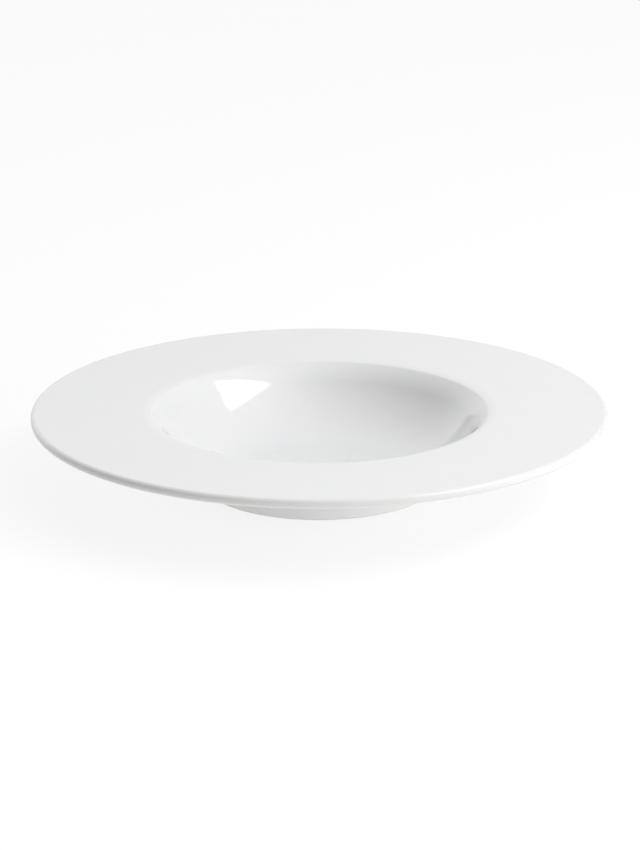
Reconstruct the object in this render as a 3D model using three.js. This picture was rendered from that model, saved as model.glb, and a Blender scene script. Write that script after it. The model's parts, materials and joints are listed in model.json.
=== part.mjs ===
// A rimmed soup plate in millimetres, +Z up: one porcelain body under two separate coats of glaze.
// The origin is the middle of the foot ring, on the surface that the plate stands on.
import * as THREE from "three";

// Finished sizes, measured over the glaze.
const rimDiameter = 280;
const plateHeight = 38.8;
const wellDiameter = 163.6; // over the crest, where the rim breaks into the well
const footDiameter = 115; // over the foot ring, where its side would meet the table

// Slopes of the face, up from the horizontal.
const rimAngle = THREE.MathUtils.degToRad(1.4); // the rim rises a little towards its lip
const vergeAngle = THREE.MathUtils.degToRad(13); // where the rim rolls over to the crest
const browAngle = THREE.MathUtils.degToRad(37); // the top of the well's wall, at the crest
const wallAngle = THREE.MathUtils.degToRad(56.4); // the well's wall at its steepest

// Thicknesses, also over the glaze.
const rimThickness = 4.6;
const wallThickness = 4.7;
const floorThickness = 4.6;

// Roundings of the section.
const vergeRadius = 22; // where the rim rolls over
const crestRadius = 2;
const browRadius = 31.5; // the full upper part of the well's wall
const underRimRadius = 14; // outside, from the rim to the well's wall
const lipFlat = 0.2; // upright band left between the two roundings of the lip
const lipRadius = (rimThickness - lipFlat) / 2;

// The foot ring: it leans in a little towards its flat tread, and stands round a shallow recess.
const footDraft = THREE.MathUtils.degToRad(4);
const footFilletRadius = 2.5; // outside, from the bowl to the ring
const treadWidth = 5;
const treadEdgeRadius = 0.5;
const recessHeight = 2.3; // in the middle of the recess
const recessAngle = THREE.MathUtils.degToRad(70); // the ring's inner flank, up from the horizontal
const recessRadius = 1.6; // inside, from the flank to the recess

// The glaze, which stops short of the tread so that the plate doesn't stick to the kiln shelf.
const glazeThickness = 0.25;
const bareFootHeight = 0.6;

// How finely the turned shapes are faceted.
const turnSteps = 64;
const arcDeviation = 0.15;

const porcelain = new THREE.MeshStandardMaterial({ color: 0xe6e2da, roughness: 0.6, metalness: 0 });
const glaze = new THREE.MeshStandardMaterial({ color: 0xebecee, roughness: 0.1, metalness: 0 });

// A section's points and directions are (distance from the axis, height).
const outwards = new THREE.Vector2(1, 0);
const inwards = new THREE.Vector2(-1, 0);
const upwards = new THREE.Vector2(0, 1);
const downwards = new THREE.Vector2(0, -1);
const slopingUp = (angle) => new THREE.Vector2(Math.cos(angle), Math.sin(angle));
const rightOf = (along) => new THREE.Vector2(along.y, -along.x);

// The point where a line from one point along a direction meets a second such line.
function meet(from, along, other, otherAlong) {
  const gap = other.clone().sub(from);
  return from.clone().addScaledVector(along, gap.cross(otherAlong) / along.cross(otherAlong));
}

// How far a rounding reaches along its lines from the corner where they meet.
const tangentLength = (radius, angle, otherAngle) => radius * Math.tan(Math.abs(angle - otherAngle) / 2);

// The straight lines of the finished section in order, each walked with the material on its right:
// over the face from the axis, round the lip, down the back to the foot, and in to the axis again.
function sectionLines() {
  const rimAlong = slopingUp(rimAngle);
  const vergeAlong = slopingUp(vergeAngle);
  const browAlong = slopingUp(browAngle);
  const wallAlong = slopingUp(wallAngle);
  const lipCentre = new THREE.Vector2(rimDiameter / 2 - lipRadius, plateHeight - lipRadius);
  const rimFace = lipCentre.clone().addScaledVector(rightOf(rimAlong), -lipRadius);
  const rimBack = rimFace.clone().addScaledVector(rightOf(rimAlong), rimThickness);
  const floor = new THREE.Vector2(0, recessHeight + floorThickness);
  const foot = new THREE.Vector2(footDiameter / 2, 0);
  const treadInside = foot.clone().addScaledVector(inwards, treadWidth);

  // From the rim to the floor, each rounding of the face runs straight into the next.
  const crestReach = tangentLength(crestRadius, vergeAngle, browAngle);
  const browReach = tangentLength(browRadius, browAngle, wallAngle);
  const vergeLength = tangentLength(vergeRadius, rimAngle, vergeAngle) + crestReach;
  const vergeEnd = new THREE.Vector2(wellDiameter / 2, 0).addScaledVector(vergeAlong, vergeLength);
  const crest = meet(rimFace, rimAlong, vergeEnd, downwards).addScaledVector(vergeAlong, -vergeLength);
  const brow = crest.clone().addScaledVector(browAlong, -crestReach - browReach);
  const heel = meet(floor, outwards, brow, wallAlong);
  const heelRadius = (heel.distanceTo(brow) - browReach) / Math.tan(wallAngle / 2);
  const outerWall = brow.clone().addScaledVector(rightOf(wallAlong), wallThickness);

  // Under the well, the bowl's outside and the recess run parallel to the rounding of its heel.
  const heelCentre = heel
    .addScaledVector(outwards, -heelRadius * Math.tan(wallAngle / 2))
    .addScaledVector(upwards, heelRadius);

  // The tangent to such an arc at the point where a fillet carries it into a side of the foot ring.
  function bowlAt(side, bowlRadius, filletRadius) {
    const across = rightOf(side.along);
    const reach = bowlRadius + filletRadius;
    const offset = side.from.clone().sub(heelCentre).dot(across) - filletRadius;
    const drop = -Math.sign(side.along.y) * Math.sqrt(reach ** 2 - offset ** 2);
    const toFillet = across.multiplyScalar(offset / reach).addScaledVector(side.along, drop / reach);
    return { from: heelCentre.clone().addScaledVector(toFillet, bowlRadius), along: rightOf(toFillet) };
  }

  const footSide = { from: foot, along: slopingUp(Math.PI / 2 - footDraft).negate() };
  const flank = { from: treadInside, along: slopingUp(Math.PI - recessAngle) };
  return {
    heelRadius,
    floor: { from: floor, along: outwards },
    wall: { from: brow, along: wallAlong },
    brow: { from: crest, along: browAlong },
    verge: { from: crest, along: vergeAlong },
    rim: { from: rimFace, along: rimAlong },
    lip: { from: new THREE.Vector2(rimDiameter / 2, 0), along: downwards },
    underRim: { from: rimBack, along: rimAlong.clone().negate() },
    outerWall: { from: outerWall, along: wallAlong.clone().negate() },
    bowl: bowlAt(footSide, heelRadius + wallThickness, footFilletRadius),
    footSide,
    tread: { from: foot, along: inwards },
    flank,
    recess: bowlAt(flank, heelRadius + floorThickness, recessRadius),
    ceiling: { from: new THREE.Vector2(0, recessHeight), along: inwards },
  };
}

const lines = sectionLines();
const { heelRadius } = lines;

// A line moved to a depth below the finished surface.
const inset = (line, depth) => ({
  from: line.from.clone().addScaledVector(rightOf(line.along), depth),
  along: line.along,
});

// The points of the arc that rounds the corner between two lines.
function roundedCorner(before, after, radius) {
  const turn = Math.atan2(before.along.cross(after.along), before.along.dot(after.along));
  const corner = meet(before.from, before.along, after.from, after.along);
  const start = corner.addScaledVector(before.along, -radius * Math.tan(Math.abs(turn) / 2));
  const centre = start.clone().addScaledVector(rightOf(before.along), -Math.sign(turn) * radius);
  const widestStep = 2 * Math.acos(1 - Math.min(arcDeviation / radius, 1));
  const steps = Math.ceil(Math.abs(turn) / widestStep);
  return Array.from({ length: steps + 1 }, (_, i) => start.clone().rotateAround(centre, (turn * i) / steps));
}

// The same at a depth below the finished surface, round the same centre: an outer corner gets tighter there.
function glazedCorner(before, after, finishedRadius, depth) {
  const isOuter = before.along.cross(after.along) < 0;
  const radius = isOuter ? finishedRadius - depth : finishedRadius + depth;
  return roundedCorner(inset(before, depth), inset(after, depth), radius);
}

// The end of the glaze on a side of the foot: square to the body's surface at the top of the bare band.
function glazeEnd(line, depth) {
  const body = inset(line, glazeThickness);
  const onBody = meet(body.from, body.along, new THREE.Vector2(0, bareFootHeight), outwards);
  return onBody.addScaledVector(rightOf(line.along), depth - glazeThickness);
}

// The face, the lip and the back, from the axis to where the glaze ends on the foot's outside. Where a
// rounding starts on the last point of the one before, that point isn't repeated.
const faceAndBack = (depth) => [
  inset(lines.floor, depth).from,
  ...glazedCorner(lines.floor, lines.wall, heelRadius, depth),
  ...glazedCorner(lines.wall, lines.brow, browRadius, depth).slice(1),
  ...glazedCorner(lines.brow, lines.verge, crestRadius, depth).slice(1),
  ...glazedCorner(lines.verge, lines.rim, vergeRadius, depth).slice(1),
  ...glazedCorner(lines.rim, lines.lip, lipRadius, depth),
  ...glazedCorner(lines.lip, lines.underRim, lipRadius, depth),
  ...glazedCorner(lines.underRim, lines.outerWall, underRimRadius, depth),
  ...glazedCorner(lines.outerWall, lines.bowl, heelRadius + wallThickness, depth),
  ...glazedCorner(lines.bowl, lines.footSide, footFilletRadius, depth).slice(1),
  glazeEnd(lines.footSide, depth),
];

// The recess inside the foot, from where its glaze ends to the axis, with its fillet's last point not repeated.
const recess = (depth) => [
  glazeEnd(lines.flank, depth),
  ...glazedCorner(lines.flank, lines.recess, recessRadius, depth),
  ...glazedCorner(lines.recess, lines.ceiling, heelRadius + floorThickness, depth).slice(1),
  inset(lines.ceiling, depth).from,
];

// The bare tread with its two softened edges.
const bareFoot = [
  ...roundedCorner(inset(lines.footSide, glazeThickness), lines.tread, treadEdgeRadius),
  ...roundedCorner(lines.tread, inset(lines.flank, glazeThickness), treadEdgeRadius),
];

// The body and each coat share the points of the surface where they meet.
const bodySection = [...faceAndBack(glazeThickness), ...bareFoot, ...recess(glazeThickness)];
const faceGlazeSection = [...faceAndBack(0), ...faceAndBack(glazeThickness).reverse()];
const recessGlazeSection = [...recess(glazeThickness).reverse(), ...recess(0)];

// A solid turned about the Z axis from a half section that starts and ends on it. A lathe's faces
// look outwards when the material is on the left of the walk, so the section is walked backwards.
function turned(name, section, material) {
  const geometry = new THREE.LatheGeometry(section.toReversed(), turnSteps).rotateX(Math.PI / 2);
  const mesh = new THREE.Mesh(geometry, material);
  mesh.name = name;
  return mesh;
}

const soupPlate = new THREE.Group();
soupPlate.add(
  turned("porcelain_body", bodySection, porcelain),
  turned("face_glaze", faceGlazeSection, glaze),
  turned("foot_recess_glaze", recessGlazeSection, glaze),
);

export default soupPlate;
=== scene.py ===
import json
import math

import bpy
from bpy.props import FloatProperty, FloatVectorProperty, IntProperty, PointerProperty
from mathutils import Matrix, Vector


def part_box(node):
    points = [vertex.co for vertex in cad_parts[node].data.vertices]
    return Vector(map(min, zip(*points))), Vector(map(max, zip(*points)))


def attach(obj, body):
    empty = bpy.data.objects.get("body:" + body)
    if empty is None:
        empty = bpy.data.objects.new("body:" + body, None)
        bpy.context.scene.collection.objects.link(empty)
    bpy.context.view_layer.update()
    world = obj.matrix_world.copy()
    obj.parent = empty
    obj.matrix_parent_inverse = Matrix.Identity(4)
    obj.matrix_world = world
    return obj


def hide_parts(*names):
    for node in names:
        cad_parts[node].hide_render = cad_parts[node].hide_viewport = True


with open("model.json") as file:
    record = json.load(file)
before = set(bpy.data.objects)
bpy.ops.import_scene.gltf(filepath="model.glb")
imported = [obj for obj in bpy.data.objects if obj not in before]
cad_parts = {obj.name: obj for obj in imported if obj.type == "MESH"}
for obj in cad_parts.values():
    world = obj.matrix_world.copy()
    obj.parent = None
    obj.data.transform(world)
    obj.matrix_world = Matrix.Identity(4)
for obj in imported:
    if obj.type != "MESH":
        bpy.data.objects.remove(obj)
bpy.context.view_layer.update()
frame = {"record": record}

bl_info = {
    "name": "Rimmed Soup Plate",
    "version": (1, 0, 0),
    "blender": (4, 5, 0),
    "location": "View3D > Sidebar > Soup Plate",
    "description": "A white porcelain soup plate with its two coats of glaze, on a pale studio floor",
    "category": "Object",
}

BODY = "root"
GLAZE_LOW, GLAZE_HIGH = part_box("face_glaze")
MOUNTS = {mount["name"]: mount for mount in frame["record"]["mounts"]}
FLOOR_HEIGHT = MOUNTS["well_floor"]["pos_m"][2]

# How finely the sections are drawn, in metres.
ARC_DEVIATION = 0.000004
HOLDING_DISTANCE = 0.0004
PEN_DOT = 0.0001
MERGE_DISTANCE = 0.000001
END_TOLERANCE = 0.00001
BEAD_SEGMENTS = 3
SMOOTH_ANGLE = math.radians(40)

# The span of a noise over which each kind of patch fades in.
MOTTLING_SPAN = (0.35, 0.75)
GLOSS_SPAN = (0.3, 0.8)
GRAIN_SPAN = (0.2, 0.8)
RUBBING_SPAN = (0.45, 0.7)
CLOUD_SPAN = (0.3, 0.75)

WHITE = (1, 1, 1, 1)

# A section's points and directions are (distance from the axis, height).
OUTWARDS = Vector((1, 0))
INWARDS = Vector((-1, 0))
UPWARDS = Vector((0, 1))
DOWNWARDS = Vector((0, -1))


def length(name, description, default):
    return FloatProperty(
        name=name, description=description, default=default, unit="LENGTH", precision=5
    )


def angle(name, description, degrees):
    default = math.radians(degrees)
    return FloatProperty(name=name, description=description, default=default, subtype="ANGLE")


def factor(name, description, default):
    return FloatProperty(
        name=name, description=description, default=default, subtype="FACTOR", min=0, max=1
    )


def colour(name, description, default):
    return FloatVectorProperty(
        name=name, description=description, default=default, subtype="COLOR", size=3, min=0, max=1
    )


class PlateSizes(bpy.types.PropertyGroup):
    """Finished sizes of the plate, measured over the glaze."""

    rim_diameter: length("Rim diameter", "Across the lip", GLAZE_HIGH.x - GLAZE_LOW.x)
    plate_height: length("Height", "From the table to the top of the lip", GLAZE_HIGH.z)
    well_diameter: length("Well diameter", "Over the crest, where the rim breaks into the well", 0.1636)
    foot_diameter: length("Foot diameter", "Over the foot ring, where its side meets the table", 0.115)
    rim_angle: angle("Rim angle", "Rise of the rim towards its lip", 1.4)
    verge_angle: angle("Verge angle", "Where the rim rolls over to the crest", 13)
    brow_angle: angle("Brow angle", "The top of the well's wall, at the crest", 37)
    wall_angle: angle("Wall angle", "The well's wall at its steepest", 56.4)
    rim_thickness: length("Rim thickness", "Through the rim", 0.0046)
    wall_thickness: length("Wall thickness", "Through the well's wall", 0.0047)
    floor_height: length("Floor height", "From the table to the floor of the well", FLOOR_HEIGHT)
    floor_thickness: length("Floor thickness", "Through the floor of the well", 0.0046)
    verge_radius: length("Verge radius", "Where the rim rolls over", 0.022)
    crest_radius: length("Crest radius", "Where the rim breaks into the well", 0.002)
    brow_radius: length("Brow radius", "The full upper part of the well's wall", 0.0315)
    under_rim_radius: length("Under-rim radius", "Outside, from the rim to the well's wall", 0.014)
    lip_flat: length("Lip flat", "Upright band between the two roundings of the lip", 0.0002)
    foot_draft: angle("Foot draft", "How far the foot ring leans in towards its tread", 4)
    foot_fillet_radius: length("Foot fillet", "Outside, from the bowl to the foot ring", 0.0025)
    tread_width: length("Tread width", "Across the foot ring at the table", 0.005)
    tread_edge_radius: length("Tread edge", "Rounding of the tread's two edges", 0.0005)
    recess_angle: angle("Recess angle", "The foot ring's inner flank, up from the horizontal", 70)
    recess_radius: length("Recess radius", "From the flank to the recess", 0.0016)
    glaze_thickness: length("Glaze thickness", "Of both coats", 0.00025)
    bare_foot_height: length("Bare foot", "Height at which both coats end above the table", 0.0006)
    glaze_bead: length("Glaze bead", "Rounding of a coat's end on the foot", 0.0001)
    turn_steps: IntProperty(name="Turn steps", description="Faces round the plate", default=240, min=24)


class PlateFinish(bpy.types.PropertyGroup):
    """Colours and surface detail of the glaze and of the bare porcelain."""

    glaze_colour: colour("Glaze", "The white of the fired glaze", (0.80, 0.80, 0.805))
    pooled_colour: colour("Pooled glaze", "Cooler, where glaze has run together", (0.775, 0.785, 0.79))
    thin_colour: colour("Thin glaze", "Warmer, where glaze draws off an edge", (0.80, 0.785, 0.76))
    fleck_colour: colour("Flecks", "Iron flecks in the clay", (0.34, 0.28, 0.21))
    bare_colour: colour("Bare porcelain", "The fired clay of the tread", (0.70, 0.665, 0.60))
    worn_colour: colour("Worn porcelain", "The tread where it has been rubbed", (0.52, 0.50, 0.47))

    glaze_index: FloatProperty(name="Refractive index", description="Of the glaze", default=1.5)
    glaze_roughness: factor("Glaze roughness", "Of the smoothest glaze", 0.04)
    glaze_dulling: factor("Glaze dulling", "Roughness added where the glaze is dullest", 0.05)
    gloss_size: length("Gloss patches", "Size of the smoother and duller patches", 0.03)
    wave_size: length("Glaze wave size", "Of the slow waves in the fired glaze", 0.045)
    wave_height: length("Glaze waves", "Height of the slow waves in the fired glaze", 0.000012)
    peel_size: length("Orange peel size", "Of the fine ripple in the glaze", 0.0022)
    peel_height: length("Orange peel", "Height of the fine ripple in the glaze", 0.0000006)
    ring_height: length("Turning rings", "Height of the rings left by the forming tool", 0.0000004)
    ring_pitch: length("Ring pitch", "Distance between turning rings", 0.0031)
    pool_depth: length("Pool depth", "Height over the well's floor where glaze starts to pool", 0.009)
    pool_edge: length("Pool edge", "Width over which the pooled glaze fades out", 0.012)
    mottling_size: length("Mottling size", "Of the cooler patches in the glaze", 0.012)
    mottling: factor("Mottling", "How far the cooler patches go", 0.5)
    thin_lip_width: length("Thin lip", "Width of the thinner glaze at the lip", 0.0022)
    thin_lip: factor("Lip warmth", "How far the thinner glaze at the lip turns warm", 0.5)
    thin_foot_height: length("Thin foot", "Height of the thinner glaze above its end", 0.0012)
    fleck_spacing: length("Fleck spacing", "Between flecks in the glaze", 0.009)
    fleck_radius: length("Fleck radius", "Of a fleck in the glaze", 0.00022)
    fleck_share: factor("Fleck share", "Of the places in the glaze that have a fleck", 0.12)
    fleck_strength: factor("Fleck strength", "How far a fleck shows through the glaze", 0.45)

    bare_roughness: factor("Bare roughness", "Of the bare tread", 0.72)
    bare_roughness_spread: factor("Bare spread", "Either way from the bare roughness", 0.1)
    grain_size: length("Grain size", "Of the bare clay", 0.0004)
    grain_height: length("Grain height", "Of the bare clay", 0.00003)
    rubbing_size: length("Rubbing size", "Of the rubbed patches on the tread", 0.004)
    rubbing: factor("Rubbing", "How far the rubbed patches go", 0.8)
    rubbing_start: length("Rubbing start", "Height at which the rubbing begins", 0.00025)
    rubbing_full: length("Full rubbing", "Height below which the rubbing is full", 0.00005)
    cloud_size: length("Cloud size", "Of the paler patches in the bare clay", 0.008)
    clouds: factor("Clouds", "How far the paler patches go", 0.25)
    bare_fleck_spacing: length("Bare fleck spacing", "Between flecks in the bare clay", 0.0025)
    bare_fleck_radius: length("Bare fleck radius", "Of a fleck in the bare clay", 0.00012)
    bare_fleck_share: factor("Bare fleck share", "Of the places in the bare clay that have a fleck", 0.3)


class StudioSettings(bpy.types.PropertyGroup):
    """The camera, the floor and the room's even light."""

    camera_distance: length("Camera distance", "From the camera to the point it looks at", 1.4)
    camera_elevation: angle("Camera elevation", "Above the horizon", 17.38)
    camera_roll: angle("Camera roll", "Tilt of the camera about its own axis", -0.23)
    aim_height: length("Aim height", "Of the point on the axis that the camera looks at", 0.0365)
    focal_pixels: FloatProperty(
        name="Focal length", description="In pixels of the photograph", default=2879
    )
    axis_pixel: FloatVectorProperty(
        name="Axis pixel",
        description="Where the camera's axis meets the photograph",
        default=(319.6, 410.1),
        size=2,
    )
    photo_pixels: FloatVectorProperty(
        name="Photograph", description="Width and height in pixels", default=(640, 850), size=2
    )
    sensor_width: FloatProperty(
        name="Sensor", description="Of the long side, in millimetres", default=36
    )
    clip_start: length("Clip start", "Nearest distance that the camera sees", 0.01)
    floor_size: length("Floor size", "Side of the square floor", 14)
    floor_gap: length("Floor gap", "Under the tread, so that light reaches it", 0.0003)
    floor_colour: colour("Floor", "The paper of the floor, as it lights the plate", (0.4, 0.4, 0.4))
    floor_white: factor("Floor white", "Share of the floor's look that stays white in shadow", 0.75)
    under_light: factor("Light from below", "Of the lit patch under and round the plate", 0.66)
    under_light_radius: length("Lit patch", "Radius of the lit patch", 0.25)
    under_light_edge: length("Lit patch edge", "Width over which the lit patch fades out", 0.02)
    room_strength: FloatProperty(
        name="Room", description="Strength of the room's even light", default=0.06
    )


# The brighter parts of the room. The middle of each is a compass direction from +Y towards +X and a
# height above the horizon, in degrees; a greater sharpness makes the glow smaller.
GLOWS = {
    "ceiling": {"middle": (0, 90), "sharpness": 2, "strength": 0.61},
    "right_wall": {"middle": (120, 45), "sharpness": 6, "strength": 1.15},
    "back_wall": {"middle": (-20, 30), "sharpness": 2, "strength": 0.66},
    "backdrop": {"middle": (12, 8), "sharpness": 12, "strength": 0.32},
    "left_backdrop": {"middle": (-30, 8), "sharpness": 20, "strength": 0.56},
    "left_panel": {"middle": (-50, 15), "sharpness": 20, "strength": 0.76},
}

# The softboxes. Each stands at a compass direction, a height above the horizon and a distance in metres,
# and its back looks to a direction and a height. The boom hangs over the right of the plate, with its far
# edge tipped up, and the glaze mirrors it.
SOFTBOXES = {
    "boom_softbox": {
        "place": (106.3, 44, 1.56),
        "back": (-79.2, 71.7),
        "size": (1.1, 1.0),
        "power": 13,
        "mirrored": True,
    },
    "low_softbox": {
        "place": (118, 12, 1.4),
        "back": (118, 12),
        "size": (1.2, 0.6),
        "power": 7,
        "mirrored": False,
    },
}


def right_of(along):
    return Vector((along.y, -along.x))


def sloping_up(slope):
    return Vector((math.cos(slope), math.sin(slope)))


class Line:
    """A straight stretch of the half section, walked with the material on its right."""

    def __init__(self, start, along):
        self.start = start
        self.along = along

    def sunk(self, depth):
        """The same stretch at a depth below the finished surface."""
        return Line(self.start + right_of(self.along) * depth, self.along)


def meet(one, other):
    """The point where two lines cross."""
    gap = other.start - one.start
    return one.start + one.along * (gap.cross(other.along) / one.along.cross(other.along))


def tangent_length(radius, slope, other_slope):
    """How far a rounding reaches along its lines from the corner where they meet."""
    return radius * math.tan(abs(slope - other_slope) / 2)


class PlateSection:
    """The straight lines of the finished half section, over the face, round the lip and down the back."""

    def __init__(self, sizes):
        rim_radius = sizes.rim_diameter / 2
        self.lip_radius = (sizes.rim_thickness - sizes.lip_flat) / 2
        rim_along = sloping_up(sizes.rim_angle)
        verge_along = sloping_up(sizes.verge_angle)
        brow_along = sloping_up(sizes.brow_angle)
        wall_along = sloping_up(sizes.wall_angle)
        lip_centre = Vector((rim_radius - self.lip_radius, sizes.plate_height - self.lip_radius))
        self.floor = Line(UPWARDS * sizes.floor_height, OUTWARDS)
        self.rim = Line(lip_centre - right_of(rim_along) * self.lip_radius, rim_along)

        # From the rim to the floor, each rounding of the face runs straight into the next.
        crest_reach = tangent_length(sizes.crest_radius, sizes.verge_angle, sizes.brow_angle)
        brow_reach = tangent_length(sizes.brow_radius, sizes.brow_angle, sizes.wall_angle)
        verge_reach = tangent_length(sizes.verge_radius, sizes.rim_angle, sizes.verge_angle)
        verge_length = verge_reach + crest_reach
        verge_end = OUTWARDS * sizes.well_diameter / 2 + verge_along * verge_length
        crest = meet(self.rim, Line(verge_end, DOWNWARDS)) - verge_along * verge_length
        self.verge = Line(crest, verge_along)
        self.brow = Line(crest, brow_along)
        self.wall = Line(crest - brow_along * (crest_reach + brow_reach), wall_along)
        heel = meet(self.floor, self.wall)
        heel_reach = (heel - self.wall.start).length - brow_reach
        self.heel_radius = heel_reach / math.tan(sizes.wall_angle / 2)
        self.heel_centre = heel - OUTWARDS * heel_reach + UPWARDS * self.heel_radius

        # Under the well, the bowl's outside and the recess run parallel to the rounding of its heel.
        foot = OUTWARDS * sizes.foot_diameter / 2
        self.lip = Line(OUTWARDS * rim_radius, DOWNWARDS)
        self.under_rim = Line(self.rim.sunk(sizes.rim_thickness).start, -rim_along)
        self.outer_wall = Line(self.wall.sunk(sizes.wall_thickness).start, -wall_along)
        self.bowl_radius = self.heel_radius + sizes.wall_thickness
        self.ceiling_radius = self.heel_radius + sizes.floor_thickness
        self.foot_side = Line(foot, -sloping_up(math.pi / 2 - sizes.foot_draft))
        self.tread = Line(foot, INWARDS)
        self.flank = Line(foot + INWARDS * sizes.tread_width, sloping_up(math.pi - sizes.recess_angle))
        self.bowl = self.bowl_at(self.foot_side, self.bowl_radius, sizes.foot_fillet_radius)
        self.recess = self.bowl_at(self.flank, self.ceiling_radius, sizes.recess_radius)
        self.ceiling = Line(UPWARDS * (sizes.floor_height - sizes.floor_thickness), INWARDS)

    def bowl_at(self, side, bowl_radius, fillet_radius):
        """The tangent to the bowl where a fillet carries it into a side of the foot ring."""
        across = right_of(side.along)
        reach = bowl_radius + fillet_radius
        offset = (side.start - self.heel_centre).dot(across) - fillet_radius
        drop = -math.copysign(math.sqrt(reach**2 - offset**2), side.along.y)
        to_fillet = (across * offset + side.along * drop) / reach
        return Line(self.heel_centre + to_fillet * bowl_radius, right_of(to_fillet))


class SectionPen:
    """Draws a half section in edit mode, in the plane of X and Z, and turns it into a piece."""

    def __init__(self, name, start):
        bpy.ops.object.select_all(action="DESELECT")
        bpy.ops.mesh.primitive_plane_add(size=PEN_DOT, location=(start.x, 0, start.y))
        self.piece = bpy.context.object
        self.piece.name = self.piece.data.name = name
        bpy.ops.object.transform_apply()
        bpy.ops.object.mode_set(mode="EDIT")
        bpy.ops.mesh.select_mode(type="VERT")
        bpy.ops.mesh.select_all(action="SELECT")
        bpy.ops.mesh.merge(type="CENTER")
        self.at = start

    def edge_to(self, point):
        step = point - self.at
        bpy.ops.mesh.extrude_region_move(TRANSFORM_OT_translate={"value": (step.x, 0, step.y)})
        self.at = point

    def line_to(self, end):
        """A straight stretch, with an edge near each end that holds it straight under smooth shading."""
        run = end - self.at
        if run.length < MERGE_DISTANCE:
            return
        if run.length > 3 * HOLDING_DISTANCE:
            hold = run.normalized() * HOLDING_DISTANCE
            self.edge_to(self.at + hold)
            self.edge_to(end - hold)
        self.edge_to(end)

    def round_corner(self, before, after, radius):
        """The rest of one line, then the arc that carries it into the next."""
        turn = math.atan2(before.along.cross(after.along), before.along.dot(after.along))
        start = meet(before, after) - before.along * radius * math.tan(abs(turn) / 2)
        self.line_to(start)
        centre = start - right_of(before.along) * math.copysign(radius, turn)
        steps = math.ceil(abs(turn) / (2 * math.acos(1 - ARC_DEVIATION / radius)))
        bpy.ops.mesh.spin(steps=steps, angle=turn, center=(centre.x, 0, centre.y), axis=(0, 1, 0))
        self.at = centre + Matrix.Rotation(turn, 2) @ (start - centre)

    def glazed_corner(self, before, after, finished_radius, depth):
        """The same at a depth below the finished surface: an outer corner gets tighter there."""
        is_outer = before.along.cross(after.along) < 0
        radius = finished_radius - depth if is_outer else finished_radius + depth
        self.round_corner(before.sunk(depth), after.sunk(depth), radius)

    def turned(self, steps):
        """The piece that the drawn section makes, turned once about the Z axis."""
        bpy.ops.mesh.select_all(action="SELECT")
        bpy.ops.mesh.spin(steps=steps, angle=math.tau, center=(0, 0, 0), axis=(0, 0, 1))
        bpy.ops.mesh.select_all(action="SELECT")
        bpy.ops.mesh.remove_doubles(threshold=MERGE_DISTANCE)
        bpy.ops.mesh.normals_make_consistent(inside=False)
        bpy.ops.object.mode_set(mode="OBJECT")
        return self.piece


def glaze_end(line, sizes, depth):
    """The end of a coat on a side of the foot, square to the body at the top of the bare band."""
    body_side = line.sunk(sizes.glaze_thickness)
    on_body = meet(body_side, Line(UPWARDS * sizes.bare_foot_height, OUTWARDS))
    return on_body + right_of(line.along) * (depth - sizes.glaze_thickness)


def draw_face_and_back(pen, section, sizes, depth):
    """From the middle of the well over the face and round the lip to the end of the glaze."""
    corners = (
        (section.floor, section.wall, section.heel_radius),
        (section.wall, section.brow, sizes.brow_radius),
        (section.brow, section.verge, sizes.crest_radius),
        (section.verge, section.rim, sizes.verge_radius),
        (section.rim, section.lip, section.lip_radius),
        (section.lip, section.under_rim, section.lip_radius),
        (section.under_rim, section.outer_wall, sizes.under_rim_radius),
        (section.outer_wall, section.bowl, section.bowl_radius),
        (section.bowl, section.foot_side, sizes.foot_fillet_radius),
    )
    for before, after, radius in corners:
        pen.glazed_corner(before, after, radius, depth)
    pen.line_to(glaze_end(section.foot_side, sizes, depth))


def draw_recess(pen, section, sizes, depth):
    """From the end of the glaze inside the foot ring to the middle of the recess."""
    pen.glazed_corner(section.flank, section.recess, sizes.recess_radius, depth)
    pen.glazed_corner(section.recess, section.ceiling, section.ceiling_radius, depth)
    pen.line_to(section.ceiling.sunk(depth).start)


def give_thickness(coat, sizes):
    """Grows a coat's finished surface down to the body, as the fired glaze's own thickness."""
    wall = coat.modifiers.new("glaze_thickness", "SOLIDIFY")
    wall.thickness = sizes.glaze_thickness
    wall.offset = -1
    wall.use_even_offset = True
    bpy.ops.object.modifier_apply(modifier=wall.name)


def round_coat_end(coat, end, sizes):
    """Bevels the outer edge of a coat's end into the bead that molten glaze draws up to."""
    mesh = coat.data
    on_end = []
    for vertex in mesh.vertices:
        place = Vector((vertex.co.xy.length, vertex.co.z))
        on_end.append((place - end).length < END_TOLERANCE)
    if sum(on_end) != sizes.turn_steps:
        raise RuntimeError(f"{coat.name}: its end has {sum(on_end)} points, and not {sizes.turn_steps}")
    bpy.ops.object.mode_set(mode="EDIT")
    bpy.ops.mesh.select_mode(type="EDGE")
    bpy.ops.mesh.select_all(action="DESELECT")
    bpy.ops.object.mode_set(mode="OBJECT")
    for edge in mesh.edges:
        edge.select = all(on_end[vertex] for vertex in edge.vertices)
    bpy.ops.object.mode_set(mode="EDIT")
    bpy.ops.mesh.bevel(offset=sizes.glaze_bead, segments=BEAD_SEGMENTS, affect="EDGES")
    bpy.ops.object.mode_set(mode="OBJECT")


def add_node(tree, kind, inputs=None, **settings):
    """Adds a shader node: its inputs are plain values or the outputs of other nodes."""
    made = tree.nodes.new(kind)
    for name, value in settings.items():
        setattr(made, name, value)
    for name, value in (inputs or {}).items():
        if isinstance(value, bpy.types.NodeSocket):
            tree.links.new(value, made.inputs[name])
        else:
            made.inputs[name].default_value = value
    return made


def maths(tree, operation, *values):
    return add_node(tree, "ShaderNodeMath", dict(enumerate(values)), operation=operation).outputs[0]


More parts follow.
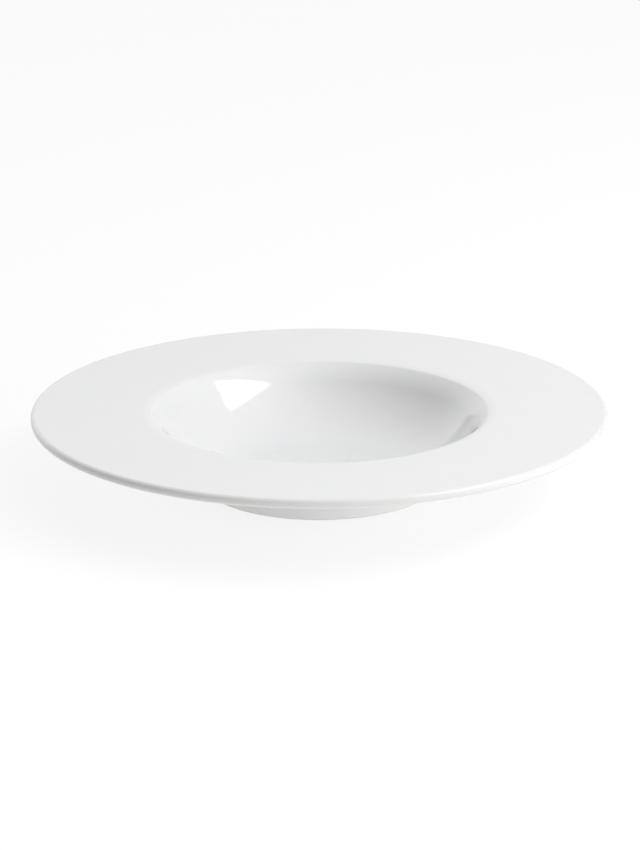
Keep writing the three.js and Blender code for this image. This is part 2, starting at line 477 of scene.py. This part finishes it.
def faded(tree, value, start, end, low=0.0, high=1.0):
    """A smooth change from one value to another as an input runs from start to end."""
    inputs = {"Value": value, "From Min": start, "From Max": end, "To Min": low, "To Max": high}
    return add_node(tree, "ShaderNodeMapRange", inputs, interpolation_type="SMOOTHSTEP").outputs["Result"]


def tinted(tree, share, plain, tint):
    """One colour turned into another by a share: each is a colour or another node's output."""
    mix = add_node(tree, "ShaderNodeMix", data_type="RGBA")
    share_in, plain_in, tint_in = mix.inputs[0], mix.inputs[6], mix.inputs[7]
    for socket, value in ((share_in, share), (plain_in, plain), (tint_in, tint)):
        if isinstance(value, bpy.types.NodeSocket):
            tree.links.new(value, socket)
        else:
            socket.default_value = value if socket is share_in else (*value, 1)
    return mix.outputs[2]


def noise(tree, place, size, detail=2.0):
    """Smooth noise whose features have about the given size in metres."""
    inputs = {"Vector": place, "Scale": 1 / size, "Detail": detail}
    return add_node(tree, "ShaderNodeTexNoise", inputs).outputs["Fac"]


def flecks(tree, place, spacing, radius, share):
    """Small round flecks: one in some of the cells that are a spacing apart."""
    cells = add_node(tree, "ShaderNodeTexVoronoi", {"Vector": place, "Scale": 1 / spacing})
    cell_colour = add_node(tree, "ShaderNodeSeparateColor", {"Color": cells.outputs["Color"]})
    chosen = maths(tree, "LESS_THAN", cell_colour.outputs["Red"], share)
    dot = faded(tree, cells.outputs["Distance"], radius / spacing, radius / spacing / 2)
    return maths(tree, "MULTIPLY", chosen, dot)


def mixed(tree, share, one, other):
    """One shader turned into another by a share."""
    inputs = {0: share, 1: one.outputs[0], 2: other.outputs[0]}
    return add_node(tree, "ShaderNodeMixShader", inputs)


def object_place(tree):
    """The place on the piece."""
    return add_node(tree, "ShaderNodeTexCoord").outputs["Object"]


def height_of(tree, place):
    return add_node(tree, "ShaderNodeSeparateXYZ", {"Vector": place}).outputs["Z"]


def radius_of(tree, place):
    """The distance of a place from the Z axis."""
    flat = add_node(tree, "ShaderNodeVectorMath", {0: place, 1: (1, 1, 0)}, operation="MULTIPLY")
    from_axis = add_node(tree, "ShaderNodeVectorMath", {0: flat.outputs[0]}, operation="LENGTH")
    return from_axis.outputs["Value"]


def new_material(name):
    """A node material with its tree and its shader."""
    material = bpy.data.materials.new(name)
    material.use_nodes = True
    tree = material.node_tree
    return material, tree, tree.nodes["Principled BSDF"]


def white_glaze(name, sizes, finish, waviness):
    """Glossy white glaze with slow waves, orange peel and turning rings.

    It is cooler where it pools, and warmer where it thins.
    """
    material, tree, shader = new_material(name)
    place = object_place(tree)
    height = height_of(tree, place)
    radius = radius_of(tree, place)
    waves = noise(tree, place, finish.wave_size, detail=1.0)
    peel = noise(tree, place, finish.peel_size)
    rings = maths(tree, "SINE", maths(tree, "MULTIPLY", radius, math.tau / finish.ring_pitch))
    relief = maths(tree, "MULTIPLY", waves, finish.wave_height * waviness)
    relief = maths(tree, "MULTIPLY_ADD", peel, finish.peel_height * waviness, relief)
    relief = maths(tree, "MULTIPLY_ADD", rings, finish.ring_height, relief)
    bump = add_node(tree, "ShaderNodeBump", {"Height": relief, "Distance": 1.0})

    near_floor = faded(tree, height, sizes.floor_height + finish.pool_depth, sizes.floor_height)
    pool_radius = sizes.foot_diameter / 2
    inside = faded(tree, radius, pool_radius, pool_radius - finish.pool_edge)
    pooled = maths(tree, "MULTIPLY", near_floor, inside)
    cool_patches = noise(tree, place, finish.mottling_size, detail=4.0)
    mottled = faded(tree, cool_patches, *MOTTLING_SPAN, 0.0, finish.mottling)
    pooled = maths(tree, "MAXIMUM", pooled, mottled)
    rim_radius = sizes.rim_diameter / 2
    lip = faded(tree, radius, rim_radius - finish.thin_lip_width, rim_radius)
    thin_foot_top = sizes.bare_foot_height + finish.thin_foot_height
    drawn_off = faded(tree, height, thin_foot_top, sizes.bare_foot_height)
    thin = maths(tree, "MAXIMUM", maths(tree, "MULTIPLY", lip, finish.thin_lip), drawn_off)
    shade = tinted(tree, pooled, finish.glaze_colour, finish.pooled_colour)
    shade = tinted(tree, thin, shade, finish.thin_colour)
    specks = flecks(tree, place, finish.fleck_spacing, finish.fleck_radius, finish.fleck_share)
    specks = maths(tree, "MULTIPLY", specks, finish.fleck_strength)
    shade = tinted(tree, specks, shade, finish.fleck_colour)

    dull_patches = noise(tree, place, finish.gloss_size, detail=3.0)
    dullest = finish.glaze_roughness + finish.glaze_dulling
    gloss = faded(tree, dull_patches, *GLOSS_SPAN, finish.glaze_roughness, dullest)
    tree.links.new(shade, shader.inputs["Base Color"])
    tree.links.new(gloss, shader.inputs["Roughness"])
    tree.links.new(bump.outputs["Normal"], shader.inputs["Normal"])
    shader.inputs["IOR"].default_value = finish.glaze_index
    return material


def bare_porcelain(name, finish):
    """Matte fired clay with fine grain, iron flecks, and grey rubbing where the tread has stood."""
    material, tree, shader = new_material(name)
    place = object_place(tree)
    grain = noise(tree, place, finish.grain_size, detail=4.0)
    bump = add_node(tree, "ShaderNodeBump", {"Height": grain, "Distance": finish.grain_height})
    rubbed = faded(tree, noise(tree, place, finish.rubbing_size, detail=5.0), *RUBBING_SPAN)
    on_tread = faded(tree, height_of(tree, place), finish.rubbing_start, finish.rubbing_full)
    worn = maths(tree, "MULTIPLY", maths(tree, "MULTIPLY", rubbed, on_tread), finish.rubbing)
    pale_patches = noise(tree, place, finish.cloud_size, detail=3.0)
    cloudy = faded(tree, pale_patches, *CLOUD_SPAN, 0.0, finish.clouds)
    shade = tinted(tree, cloudy, finish.bare_colour, finish.thin_colour)
    shade = tinted(tree, worn, shade, finish.worn_colour)
    specks = flecks(
        tree, place, finish.bare_fleck_spacing, finish.bare_fleck_radius, finish.bare_fleck_share
    )
    shade = tinted(tree, specks, shade, finish.fleck_colour)
    smoothest = finish.bare_roughness - finish.bare_roughness_spread
    dullest = finish.bare_roughness + finish.bare_roughness_spread
    dull = faded(tree, grain, *GRAIN_SPAN, smoothest, dullest)
    tree.links.new(shade, shader.inputs["Base Color"])
    tree.links.new(dull, shader.inputs["Roughness"])
    tree.links.new(bump.outputs["Normal"], shader.inputs["Normal"])
    return material


def finish_piece(piece, material, node):
    """Smooths a piece, gives it its material, and lets it stand for its solid."""
    bpy.ops.object.shade_smooth_by_angle(angle=SMOOTH_ANGLE)
    piece.data.materials.append(material)
    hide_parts(node)
    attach(piece, BODY)


class SOUPPLATE_OT_porcelain_body(bpy.types.Operator):
    """Models the fired porcelain body, bare only on the tread of its foot ring"""

    bl_idname = "soupplate.porcelain_body"
    bl_label = "Porcelain Body"

    def execute(self, context):
        sizes = context.scene.plate_sizes
        section = PlateSection(sizes)
        depth = sizes.glaze_thickness
        pen = SectionPen("fired_body", section.floor.sunk(depth).start)
        draw_face_and_back(pen, section, sizes, depth)
        pen.round_corner(section.foot_side.sunk(depth), section.tread, sizes.tread_edge_radius)
        pen.round_corner(section.tread, section.flank.sunk(depth), sizes.tread_edge_radius)
        draw_recess(pen, section, sizes, depth)
        body = pen.turned(sizes.turn_steps)
        material = bare_porcelain("bare_porcelain", context.scene.plate_finish)
        finish_piece(body, material, "porcelain_body")
        return {"FINISHED"}


class SOUPPLATE_OT_face_coat(bpy.types.Operator):
    """Models the coat of glaze over the face, round the lip and down the back to the foot"""

    bl_idname = "soupplate.face_coat"
    bl_label = "Face Glaze"

    def execute(self, context):
        sizes = context.scene.plate_sizes
        section = PlateSection(sizes)
        pen = SectionPen("face_coat", section.floor.start)
        draw_face_and_back(pen, section, sizes, 0)
        coat = pen.turned(sizes.turn_steps)
        give_thickness(coat, sizes)
        round_coat_end(coat, glaze_end(section.foot_side, sizes, 0), sizes)
        material = white_glaze("white_glaze", sizes, context.scene.plate_finish, waviness=1.0)
        finish_piece(coat, material, "face_glaze")
        return {"FINISHED"}


class SOUPPLATE_OT_recess_coat(bpy.types.Operator):
    """Models the separate coat of glaze inside the foot ring"""

    bl_idname = "soupplate.recess_coat"
    bl_label = "Recess Glaze"

    def execute(self, context):
        sizes = context.scene.plate_sizes
        section = PlateSection(sizes)
        start = glaze_end(section.flank, sizes, 0)
        pen = SectionPen("recess_coat", start)
        draw_recess(pen, section, sizes, 0)
        coat = pen.turned(sizes.turn_steps)
        give_thickness(coat, sizes)
        round_coat_end(coat, start, sizes)
        material = white_glaze("recess_glaze", sizes, context.scene.plate_finish, waviness=2.0)
        finish_piece(coat, material, "foot_recess_glaze")
        return {"FINISHED"}


def compass(azimuth, elevation):
    """The direction at a compass angle from +Y towards +X and a height above the horizon, in degrees."""
    around = math.radians(azimuth)
    up = math.radians(elevation)
    level = math.cos(up)
    return Vector((math.sin(around) * level, math.cos(around) * level, math.sin(up)))


def paper_floor(studio):
    """A pale floor that shows white, keeps the plate's shadow, and lets a view from below through."""
    material, tree, shader = new_material("studio_paper")
    tree.nodes.remove(shader)
    radius = radius_of(tree, object_place(tree))
    paper = add_node(tree, "ShaderNodeBsdfDiffuse", {"Color": (*studio.floor_colour, 1)})
    patch_radius = studio.under_light_radius
    patch_inside = patch_radius - studio.under_light_edge
    patch = faded(tree, radius, patch_radius, patch_inside, 0.0, studio.under_light)
    lit_patch = add_node(tree, "ShaderNodeEmission", {"Color": WHITE, "Strength": patch})
    both_lights = {0: paper.outputs[0], 1: lit_patch.outputs[0]}
    lighting = add_node(tree, "ShaderNodeAddShader", both_lights)
    shown_paper = add_node(tree, "ShaderNodeBsdfDiffuse", {"Color": WHITE})
    white = add_node(tree, "ShaderNodeEmission", {"Color": WHITE, "Strength": 1.0})
    shown = mixed(tree, studio.floor_white, shown_paper, white)
    path = add_node(tree, "ShaderNodeLightPath").outputs
    seen = maths(tree, "MAXIMUM", path["Is Camera Ray"], path["Is Glossy Ray"])
    seen = maths(tree, "MAXIMUM", seen, path["Is Transmission Ray"])
    top = mixed(tree, seen, lighting, shown)
    clear = add_node(tree, "ShaderNodeBsdfTransparent")
    below = add_node(tree, "ShaderNodeNewGeometry").outputs["Backfacing"]
    surface = mixed(tree, below, top, clear)
    tree.links.new(surface.outputs[0], tree.nodes["Material Output"].inputs["Surface"])
    return material


def place_softbox(name, place, back, size, power, mirrored):
    """A rectangular area light at a place round the plate, with its back to a direction."""
    azimuth, elevation, distance = place
    location = compass(azimuth, elevation) * distance
    facing = compass(*back).to_track_quat("Z", "Y").to_euler()
    bpy.ops.object.light_add(type="AREA", location=location, rotation=facing)
    softbox = bpy.context.object
    softbox.name = softbox.data.name = name
    softbox.data.shape = "RECTANGLE"
    softbox.data.size, softbox.data.size_y = size
    softbox.data.energy = power
    softbox.visible_glossy = mirrored


def light_room(scene, studio):
    """The room's even light and its glows."""
    scene.world = bpy.data.worlds.new("studio_room")
    scene.world.use_nodes = True
    tree = scene.world.node_tree
    way = add_node(tree, "ShaderNodeTexCoord").outputs["Generated"]
    light = studio.room_strength
    for glow in GLOWS.values():
        towards = {0: way, 1: compass(*glow["middle"])}
        facing = add_node(tree, "ShaderNodeVectorMath", towards, operation="DOT_PRODUCT")
        nearness = maths(tree, "MAXIMUM", facing.outputs["Value"], 0.0)
        spread = maths(tree, "POWER", nearness, glow["sharpness"])
        light = maths(tree, "MULTIPLY_ADD", spread, glow["strength"], light)
    tree.links.new(light, tree.nodes["Background"].inputs["Strength"])
    tree.nodes["Background"].inputs["Color"].default_value = WHITE


def place_camera(studio):
    """The photograph's camera: its elevation, distance, roll and framing."""
    bpy.ops.object.camera_add()
    camera = bpy.context.object
    camera.name = camera.data.name = "photo_camera"
    back = Vector((0, -math.cos(studio.camera_elevation), math.sin(studio.camera_elevation)))
    turn = back.to_track_quat("Z", "Y").to_matrix() @ Matrix.Rotation(studio.camera_roll, 3, "Z")
    location = back * studio.camera_distance + Vector((0, 0, studio.aim_height))
    camera.matrix_world = Matrix.LocRotScale(location, turn, None)
    width, height = studio.photo_pixels
    across, down = studio.axis_pixel
    camera.data.sensor_width = studio.sensor_width
    camera.data.lens = studio.focal_pixels * studio.sensor_width / height
    camera.data.shift_x = (width / 2 - across) / height
    camera.data.shift_y = (down - height / 2) / height
    camera.data.clip_start = studio.clip_start
    bpy.context.scene.camera = camera


class SOUPPLATE_OT_studio(bpy.types.Operator):
    """Sets up the pale floor, the soft studio light and the photograph's camera"""

    bl_idname = "soupplate.studio"
    bl_label = "Studio"

    def execute(self, context):
        scene = context.scene
        studio = scene.studio_settings
        bpy.ops.object.select_all(action="DESELECT")
        bpy.ops.mesh.primitive_plane_add(size=studio.floor_size, location=(0, 0, -studio.floor_gap))
        floor = context.object
        floor.name = floor.data.name = "studio_floor"
        floor.data.materials.append(paper_floor(studio))
        for name, values in SOFTBOXES.items():
            place_softbox(name, **values)
        light_room(scene, studio)
        place_camera(studio)
        scene.view_settings.view_transform = "Standard"
        return {"FINISHED"}


class VIEW3D_PT_soup_plate(bpy.types.Panel):
    """Lists the plate's pieces, sizes and finishes"""

    bl_label = "Soup Plate"
    bl_space_type = "VIEW_3D"
    bl_region_type = "UI"
    bl_category = "Soup Plate"

    def draw(self, context):
        layout = self.layout
        for operator in OPERATORS:
            layout.operator(operator.bl_idname)
        for group in SETTINGS:
            settings = getattr(context.scene, group)
            column = layout.column(align=True)
            for name in settings.__annotations__:
                column.prop(settings, name)


OPERATORS = (
    SOUPPLATE_OT_porcelain_body,
    SOUPPLATE_OT_face_coat,
    SOUPPLATE_OT_recess_coat,
    SOUPPLATE_OT_studio,
)
SETTINGS = {"plate_sizes": PlateSizes, "plate_finish": PlateFinish, "studio_settings": StudioSettings}


def register():
    for kind in (*SETTINGS.values(), *OPERATORS, VIEW3D_PT_soup_plate):
        bpy.utils.register_class(kind)
    for name, kind in SETTINGS.items():
        setattr(bpy.types.Scene, name, PointerProperty(type=kind))


def unregister():
    for name in SETTINGS:
        delattr(bpy.types.Scene, name)
    for kind in (VIEW3D_PT_soup_plate, *reversed(OPERATORS), *reversed(SETTINGS.values())):
        bpy.utils.unregister_class(kind)


def main():
    register()
    bpy.ops.soupplate.porcelain_body()
    bpy.ops.soupplate.face_coat()
    bpy.ops.soupplate.recess_coat()
    bpy.ops.soupplate.studio()


if __name__ == "__main__":
    main()
